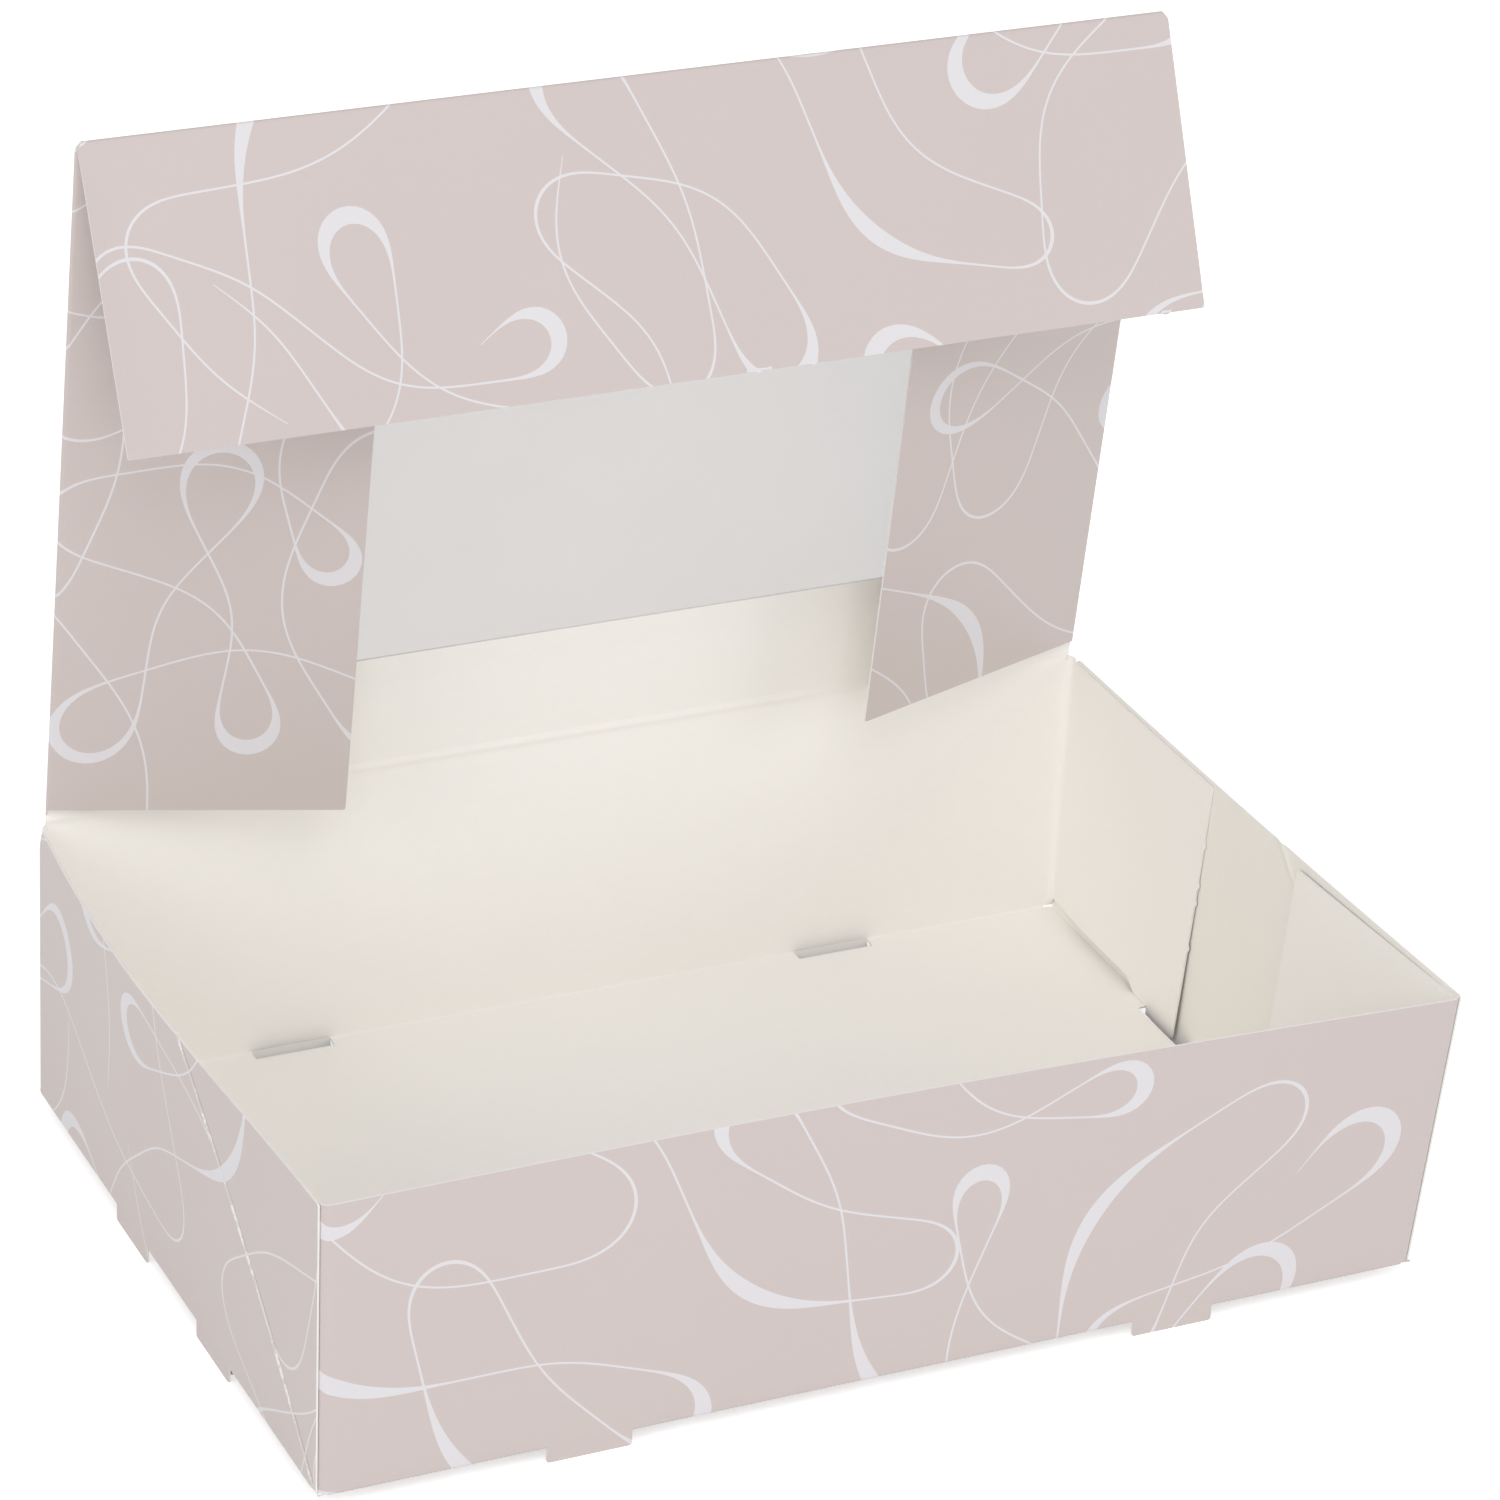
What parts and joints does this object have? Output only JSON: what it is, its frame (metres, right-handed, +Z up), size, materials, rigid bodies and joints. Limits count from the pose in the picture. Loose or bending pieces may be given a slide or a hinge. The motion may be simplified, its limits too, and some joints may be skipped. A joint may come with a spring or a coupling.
{
  "type": "pastry box with window",
  "caption": "Shallow printed paperboard pastry box: folded tray on cut-out feet, hinged lid with a clear film window and tuck-in side and front flaps.",
  "frame": {"origin": "under the middle of the tray, at the height of the feet's lower ends", "axes": "+Z up, +X to the right seen from the front wall, +Y from the front wall to the back wall, where the lid is hinged"},
  "size_m": [0.3, 0.2, 0.2807],
  "materials": {
    "printed_board": "smooth coated board, greige print with white scrolls outside, cream inside",
    "clear_film": "thin clear film"
  },
  "bodies": {
    "tray": {"tray": "printed_board"},
    "lid": {"lid": "printed_board", "window_film": "clear_film"},
    "front_flap": {"lid_front_flap": "printed_board"}
  },
  "joints": [
    {"name": "lid_hinge", "type": "hinge", "parent": "tray", "child": "lid", "pos_m": [0, 0.09975, 0.08395], "axis": [-1, 0, 0], "range_deg": [-83.5, 96.5]},
    {"name": "front_flap_fold", "type": "hinge", "parent": "lid", "child": "front_flap", "pos_m": [0, 0.07706, 0.2809], "axis": [1, 0, 0], "range_deg": [-147, 0]}
  ]
}
